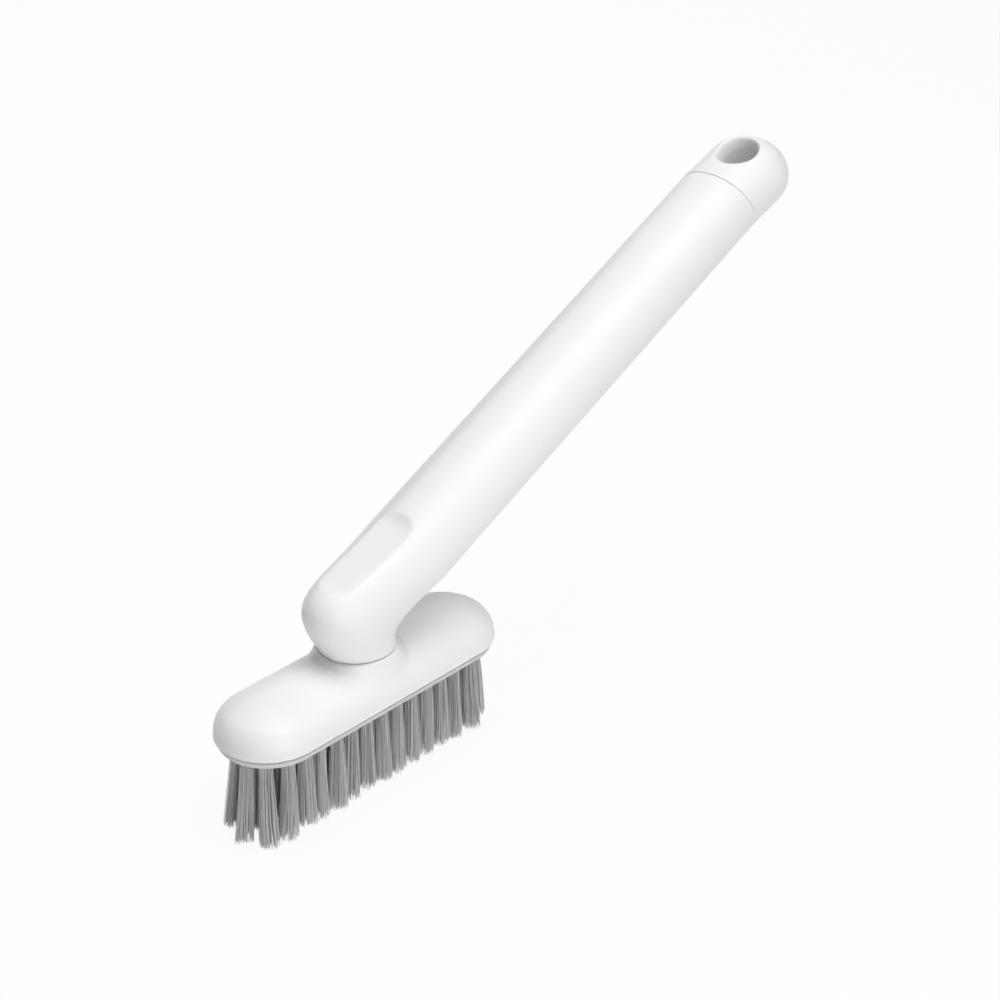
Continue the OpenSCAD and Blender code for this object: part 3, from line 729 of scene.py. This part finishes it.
MOTTLE_SCALE, MOTTLE_DETAIL, MOTTLE_TONE = 40, 4, 0.012
GLOSS_SCALE, GLOSS_DETAIL, GLOSS_LESS, GLOSS_MORE = 220, 5, 0.03, 0.04
FINE_GRAIN, COARSE_GRAIN, GRAIN_DETAIL, GRAIN_DEPTH = 9000, 6000, 2, 3e-6


def moulded_plastic(name, colour, roughness, grain=FINE_GRAIN):
    """Satin moulded plastic: a faint mottle, a fine texture from the mould and an uneven gloss."""
    material, shader = new_material(name, colour, roughness, specular=0.4)
    darker = tuple(max(0, c - MOTTLE_TONE) for c in colour)
    tint(material, shader, noise(material, MOTTLE_SCALE, MOTTLE_DETAIL), darker, colour)
    uneven = noise(material, GLOSS_SCALE, GLOSS_DETAIL)
    gloss = spread(material, uneven, roughness - GLOSS_LESS, roughness + GLOSS_MORE)
    material.node_tree.links.new(gloss, shader.inputs["Roughness"])
    bump(material, shader, noise(material, grain, GRAIN_DETAIL), GRAIN_DEPTH)
    return material


# How far from the hole's wall its painted shade reaches, the shade's tone, the share of it that stays above
# the parting line, and the height over which that share sets in
BORE_SHADE_SOFT, BORE_SHADE_TONE, BORE_SHADE_ABOVE, BORE_SHADE_STEP = 2.2, (0.74, 0.74, 0.75), 0.6, 0.1


def paint_bore_shade(material):
    """Painted shade: a darker tone on the wall of the hanging hole, which is darker in the photograph.

    It goes by the distance from the hole's axis, and is strongest below the parting line.
    """
    shader = material.node_tree.nodes["Principled BSDF"]
    link = material.node_tree.links.new
    place = add_node(material, "ShaderNodeTexCoord")
    fit = add_node(material, "ShaderNodeMapping")
    fit.vector_type = "TEXTURE"
    fit.inputs["Location"].default_value = row(in_plane(HOLE_S, -droop(HOLE_S)))
    fit.inputs["Rotation"].default_value = (0, -HANDLE_RISE, 0)
    link(place.outputs["Object"], fit.inputs["Vector"])
    flat = add_node(material, "ShaderNodeVectorMath")
    flat.operation = "MULTIPLY"
    flat.inputs[1].default_value = (1, 1, 0)
    link(fit.outputs["Vector"], flat.inputs[0])
    radius = add_node(material, "ShaderNodeVectorMath")
    radius.operation = "LENGTH"
    link(flat.outputs["Vector"], radius.inputs[0])
    near = map_range(material, radius.outputs["Value"], HOLE_R * MM, (HOLE_R + BORE_SHADE_SOFT) * MM, 1.0, 0.0)
    near.interpolation_type = "SMOOTHSTEP"
    split = add_node(material, "ShaderNodeSeparateXYZ")
    link(fit.outputs["Vector"], split.inputs["Vector"])
    step_from = (PARTING_AT - BORE_SHADE_STEP) * MM
    deep = map_range(material, split.outputs["Z"], step_from, PARTING_AT * MM, 1.0, BORE_SHADE_ABOVE)
    share = add_node(material, "ShaderNodeMath")
    share.operation = "MULTIPLY"
    link(near.outputs["Result"], share.inputs[0])
    link(deep.outputs["Result"], share.inputs[1])
    mix = material.node_tree.nodes.new("ShaderNodeMix")
    mix.data_type = "RGBA"
    mix.inputs["B"].default_value = (*BORE_SHADE_TONE, 1)
    link(share.outputs["Value"], mix.inputs["Factor"])
    link(shader.inputs["Base Color"].links[0].from_socket, mix.inputs["A"])
    link(mix.outputs["Result"], shader.inputs["Base Color"])
    return material


WHITE, WHITE_ROUGHNESS = (0.9, 0.9, 0.914), 0.4
white_plastic = moulded_plastic("white_plastic", WHITE, WHITE_ROUGHNESS)
# The cap's plastic, with painted shade on the wall of its hanging hole
cap_plastic_painted_bore_shade = paint_bore_shade(moulded_plastic("cap_plastic_painted_bore_shade", WHITE, WHITE_ROUGHNESS))
plate_plastic = moulded_plastic("plate_plastic", (0.69, 0.69, 0.703), 0.48, grain=COARSE_GRAIN)
spindle_plastic = moulded_plastic("spindle_plastic", (0.66, 0.66, 0.66), 0.45)

NYLON_DARK, NYLON_PALE = (0.6, 0.598, 0.615), (0.71, 0.708, 0.727)
# The tone is this share each strand's own and this share painted shade, which darkens the strands going up
# from the floor towards their roots, up to a height in metres
STRAND_SHARE, ROOT_SHADE_SHARE, ROOT_SHADE_HEIGHT = 0.6, 0.4, 0.016
# The noise varies quickly from strand to strand and slowly along each of them
STRAND_STRETCH = (2600, 2600, 40)


def nylon_with_painted_root_shade():
    """Grey nylon filaments: each one has its own tone, and painted shade darkens them towards their roots.
    """
    material, shader = new_material("nylon_with_painted_root_shade", NYLON_PALE, 0.5, specular=0.3)
    shader.inputs["Subsurface Weight"].default_value = 0.7
    shader.inputs["Subsurface Radius"].default_value = (1, 1, 1)
    shader.inputs["Subsurface Scale"].default_value = 0.0005
    strand = noise(material, 1.0, 2, stretch=STRAND_STRETCH)
    link = material.node_tree.links.new
    place = add_node(material, "ShaderNodeTexCoord")
    split = add_node(material, "ShaderNodeSeparateXYZ")
    link(place.outputs["Object"], split.inputs["Vector"])
    # Painted shade: the strands are paler near the floor and darker higher up, towards their roots
    height = map_range(material, split.outputs["Z"], 0.0, ROOT_SHADE_HEIGHT, 1.0, 0.0)
    tone = spread(material, strand, 0.0, STRAND_SHARE)
    add = add_node(material, "ShaderNodeMath")
    add.operation = "MULTIPLY_ADD"
    add.inputs[1].default_value = ROOT_SHADE_SHARE
    link(height.outputs["Result"], add.inputs[0])
    link(tone, add.inputs[2])
    tint(material, shader, add.outputs["Value"], NYLON_DARK, NYLON_PALE)
    return material


root_shaded_nylon = nylon_with_painted_root_shade()
BRUSHED_SCALE, BRUSHED_DETAIL, BRUSHED_LESS, BRUSHED_MORE, BRUSHED_DEPTH = 300, 4, 0.08, 0.1, 4e-6


def metal(name, colour, roughness, stretch):
    """Metal with a faintly brushed gloss."""
    material, shader = new_material(name, colour, roughness, metallic=1.0)
    brushed = noise(material, BRUSHED_SCALE, BRUSHED_DETAIL, stretch)
    gloss = spread(material, brushed, roughness - BRUSHED_LESS, roughness + BRUSHED_MORE)
    material.node_tree.links.new(gloss, shader.inputs["Roughness"])
    bump(material, shader, brushed, BRUSHED_DEPTH)
    return material


zinc = metal("zinc_steel", (0.62, 0.63, 0.65), 0.32, (1, 1, 12))
brass = metal("brass_sheet", (0.78, 0.62, 0.33), 0.35, (12, 1, 1))


def finish(piece, material, body, node_name):
    piece.data.materials.clear()
    piece.data.materials.append(material)
    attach(piece, body)
    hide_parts(node_name)


finish(handle_casing, white_plastic, "handle", "handle_shell")
finish(cap_casing, cap_plastic_painted_bore_shade, "handle", "end_cap")
finish(head_casing, white_plastic, "head", "head_shell")
finish(plate_face, plate_plastic, "head", "bristle_plate")
for node_name, piece in bristles.items():
    finish(piece, root_shaded_nylon, "head", node_name)

for node_name, material in {
    "swivel_spindle": spindle_plastic,
    "pivot_screw": zinc,
    "retaining_washer": zinc,
    "friction_washer": zinc,
    "tuft_anchors": brass,
}.items():
    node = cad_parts[node_name]
    node.data.materials.clear()
    node.data.materials.append(material)


# Floor, world and lamps
def camera_white(tree, lit_output, output_node, share):
    """Mixes a lit shader with plain white where the camera, a reflection or glass looks at it."""
    link = tree.links.new
    path = tree.nodes.new("ShaderNodeLightPath")
    seen = tree.nodes.new("ShaderNodeMath")
    seen.operation = "MAXIMUM"
    link(path.outputs["Is Camera Ray"], seen.inputs[0])
    link(path.outputs["Is Glossy Ray"], seen.inputs[1])
    also = tree.nodes.new("ShaderNodeMath")
    also.operation = "MAXIMUM"
    link(seen.outputs["Value"], also.inputs[0])
    link(path.outputs["Is Transmission Ray"], also.inputs[1])
    part = tree.nodes.new("ShaderNodeMath")
    part.operation = "MULTIPLY"
    part.inputs[1].default_value = share
    link(also.outputs["Value"], part.inputs[0])
    white = tree.nodes.new("ShaderNodeEmission")
    white.inputs["Strength"].default_value = 1.0
    mix = tree.nodes.new("ShaderNodeMixShader")
    link(part.outputs["Value"], mix.inputs["Fac"])
    link(lit_output, mix.inputs[1])
    link(white.outputs["Emission"], mix.inputs[2])
    link(mix.outputs["Shader"], output_node.inputs["Surface"])


FLOOR_HALF, FLOOR_TONE, FLOOR_WHITE, WORLD_STRENGTH = 6.0, 0.9, 0.93, 0.025
LAMP_AIM = Vector((0, 0, 0.06))
# Name, azimuth and elevation in degrees, distance and width in metres, and power in watts
LAMPS = [
    ("top", -47, 88, 1.4, 0.8, 8.3),
    ("key", -2, 65, 1.4, 0.6, 3.95),
    ("right", 43, 65, 1.4, 0.8, 2.9),
    ("low", -29, 14, 0.9, 0.5, 3.1),
    ("back", 178, 45, 1.4, 0.9, 4.2),
    ("behind", 133, 25, 1.4, 0.9, 2.4),
]


def make_floor():
    corners = [(x * FLOOR_HALF, y * FLOOR_HALF, 0) for x, y in ((-1, -1), (1, -1), (1, 1), (-1, 1))]
    mesh = bpy.data.meshes.new("floor")
    mesh.from_pydata(corners, [], [(0, 1, 2, 3)])
    floor = bpy.data.objects.new("floor", mesh)
    bpy.context.scene.collection.objects.link(floor)
    material = bpy.data.materials.new("floor")
    material.use_nodes = True
    tree = material.node_tree
    tree.nodes.clear()
    output = tree.nodes.new("ShaderNodeOutputMaterial")
    matt = tree.nodes.new("ShaderNodeBsdfDiffuse")
    matt.inputs["Color"].default_value = (FLOOR_TONE, FLOOR_TONE, FLOOR_TONE, 1)
    camera_white(tree, matt.outputs["BSDF"], output, FLOOR_WHITE)
    mesh.materials.append(material)


make_floor()


def make_world():
    """A white background for the camera, which lights the brush only faintly."""
    world = bpy.data.worlds.new("world")
    bpy.context.scene.world = world
    world.use_nodes = True
    tree = world.node_tree
    tree.nodes.clear()
    link = tree.links.new
    output = tree.nodes.new("ShaderNodeOutputWorld")
    path = tree.nodes.new("ShaderNodeLightPath")
    level = tree.nodes.new("ShaderNodeMapRange")
    level.inputs["To Min"].default_value = WORLD_STRENGTH
    level.inputs["To Max"].default_value = 1.0
    link(path.outputs["Is Camera Ray"], level.inputs["Value"])
    sky = tree.nodes.new("ShaderNodeBackground")
    sky.inputs["Color"].default_value = (1, 1, 1, 1)
    link(level.outputs["Result"], sky.inputs["Strength"])
    link(sky.outputs["Background"], output.inputs["Surface"])


make_world()


def area_lamp(name, azimuth, elevation, distance, size, power):
    """A square lamp that looks at the brush from a direction given as the camera's is."""
    az, el = math.radians(azimuth), math.radians(elevation)
    back = Vector((math.sin(az) * math.cos(el), -math.cos(az) * math.cos(el), math.sin(el)))
    data = bpy.data.lights.new(name, "AREA")
    data.shape = "SQUARE"
    data.size = size
    data.energy = power
    lamp = bpy.data.objects.new(name, data)
    bpy.context.scene.collection.objects.link(lamp)
    lamp.location = LAMP_AIM + back * distance
    lamp.rotation_euler = back.to_track_quat("Z", "Y").to_euler()


for lamp in LAMPS:
    area_lamp(*lamp)

bpy.context.scene.view_settings.view_transform = "Standard"
